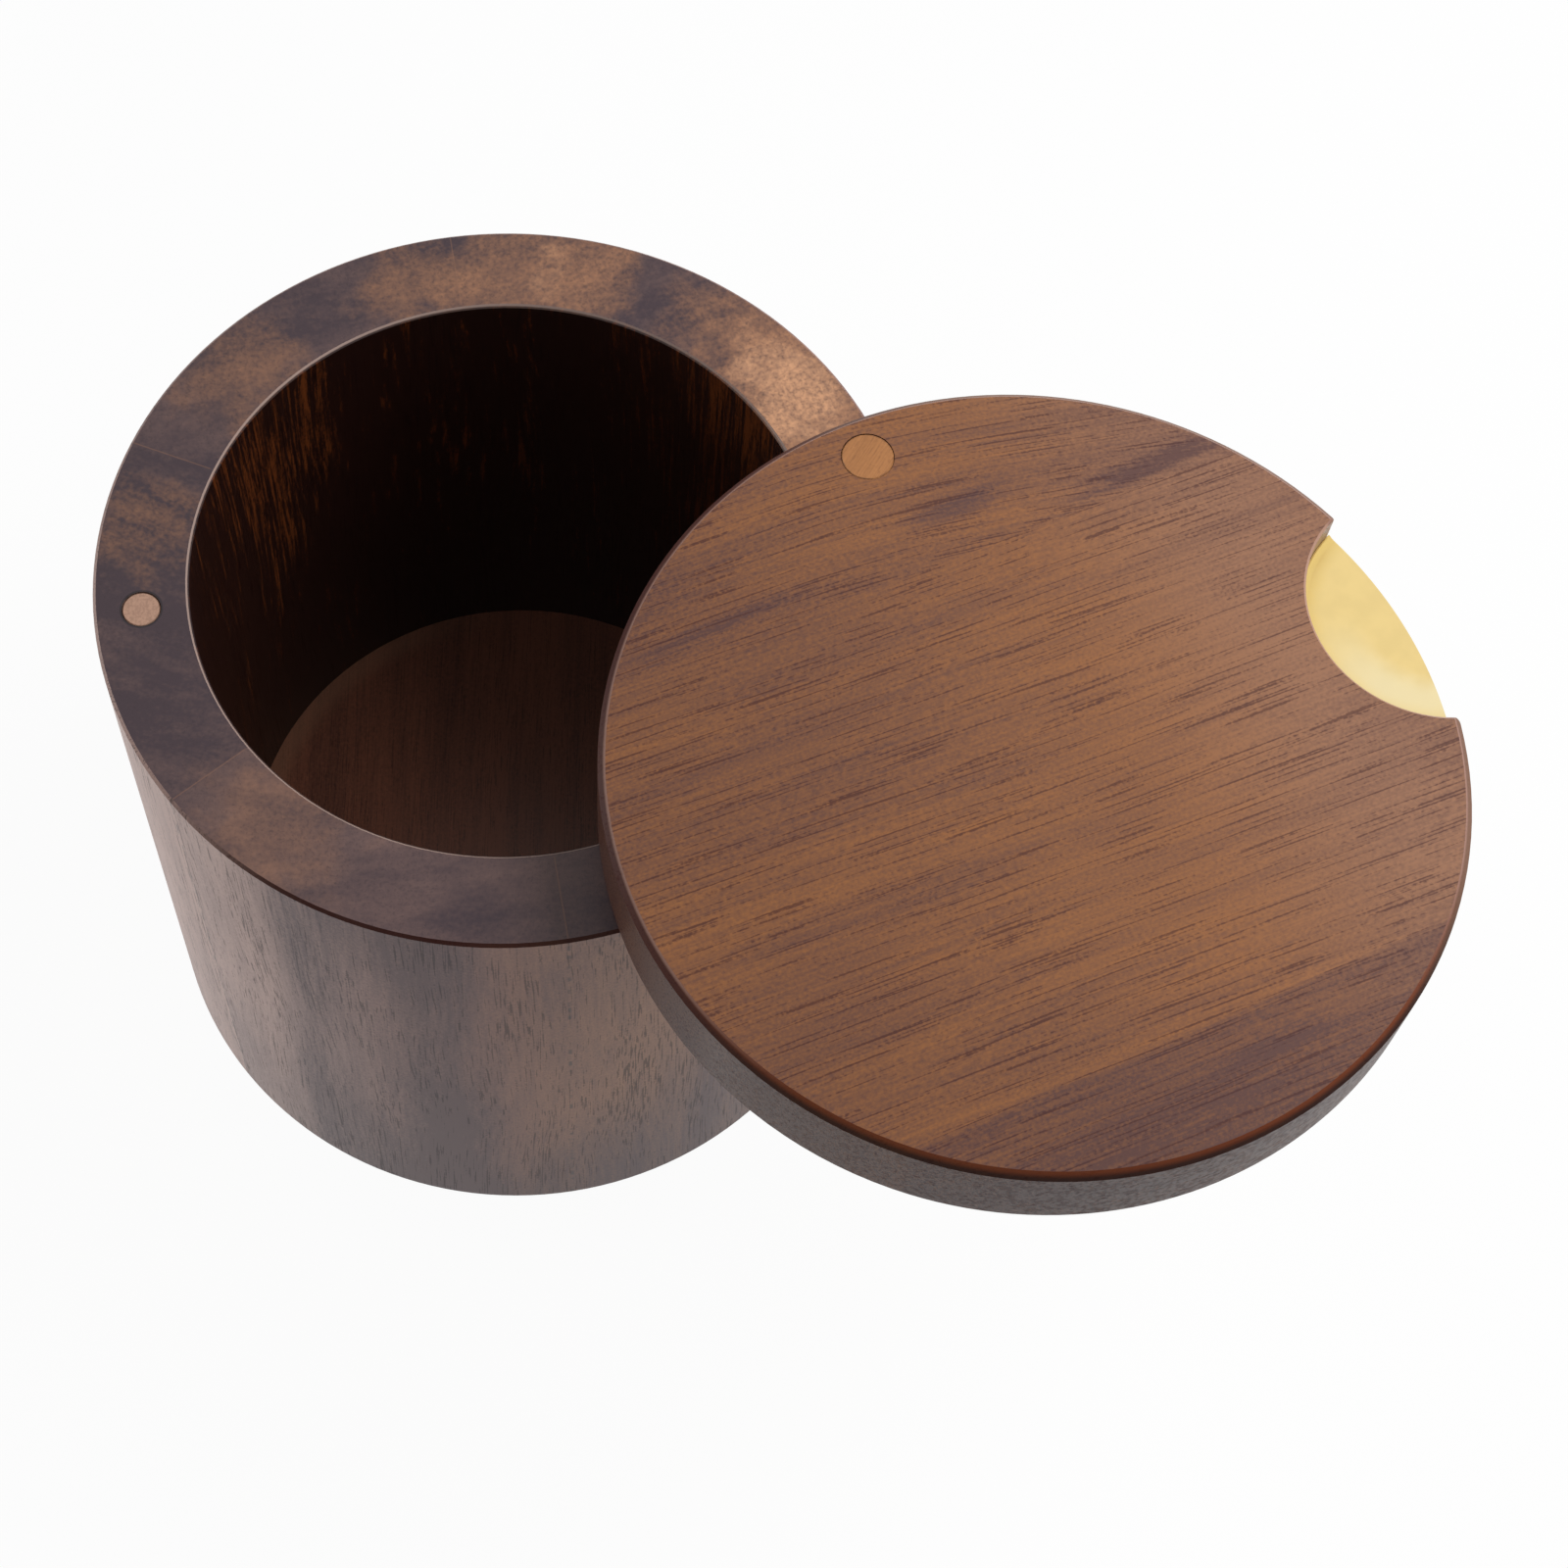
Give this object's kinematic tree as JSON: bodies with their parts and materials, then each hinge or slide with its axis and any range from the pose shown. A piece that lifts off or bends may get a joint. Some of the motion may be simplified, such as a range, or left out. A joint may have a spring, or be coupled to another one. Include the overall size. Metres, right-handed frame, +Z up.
{
  "type": "salt box",
  "caption": "Round wooden salt box with a bored-out body, a let-in floor and a flat lid that swivels on a pin near the rim, held shut by magnets, with a brass-lined thumb notch.",
  "frame": {"origin": "centre of the box's underside, on the surface it stands on", "axes": "+Z up along the box's axis; +X from the box's axis to the pivot pin; -Y the side the thumb notch faces when the lid is closed"},
  "size_m": [0.1572, 0.1459, 0.1062],
  "materials": {
    "wall_wood": "satin oiled dark hardwood, grain upright, end grain on the rim",
    "floor_wood": "satin oiled dark hardwood, face grain",
    "lid_wood": "satin oiled hardwood, straight face grain with dark pores",
    "lid_wood_dark": "satin oiled hardwood, a darker plank of the same wood",
    "lid_wood_figured": "satin oiled hardwood, a plank with wavy grain and a dark streak",
    "plug_wood": "satin oiled hardwood, lighter than the lid",
    "thumb_brass": "smooth satin brass",
    "hardware_brass": "plain turned brass",
    "hardware_steel": "zinc-plated steel",
    "magnet_plating": "satin copper-toned plating",
    "washer_nylon": "natural nylon"
  },
  "bodies": {
    "box": {"wall_stave_1": "wall_wood", "wall_stave_2": "wall_wood", "wall_stave_3": "wall_wood", "wall_stave_4": "wall_wood", "wall_stave_5": "wall_wood", "wall_stave_6": "wall_wood", "floor_disc": "floor_wood", "rim_magnet": "magnet_plating", "threaded_insert": "hardware_brass", "pivot_sleeve": "hardware_brass", "slip_washer": "washer_nylon", "pivot_screw": "hardware_steel"},
    "lid": {"lid_plank_left": "lid_wood_dark", "lid_plank_middle": "lid_wood", "lid_plank_right": "lid_wood_figured", "thumb_plate": "thumb_brass", "lid_magnet": "magnet_plating", "pivot_plug": "plug_wood"}
  },
  "joints": [
    {"name": "lid_swivel", "type": "hinge", "parent": "box", "child": "lid", "pos_m": [0.0451, 0, 0.0932], "axis": [0, 0, 1], "continuous": true}
  ]
}
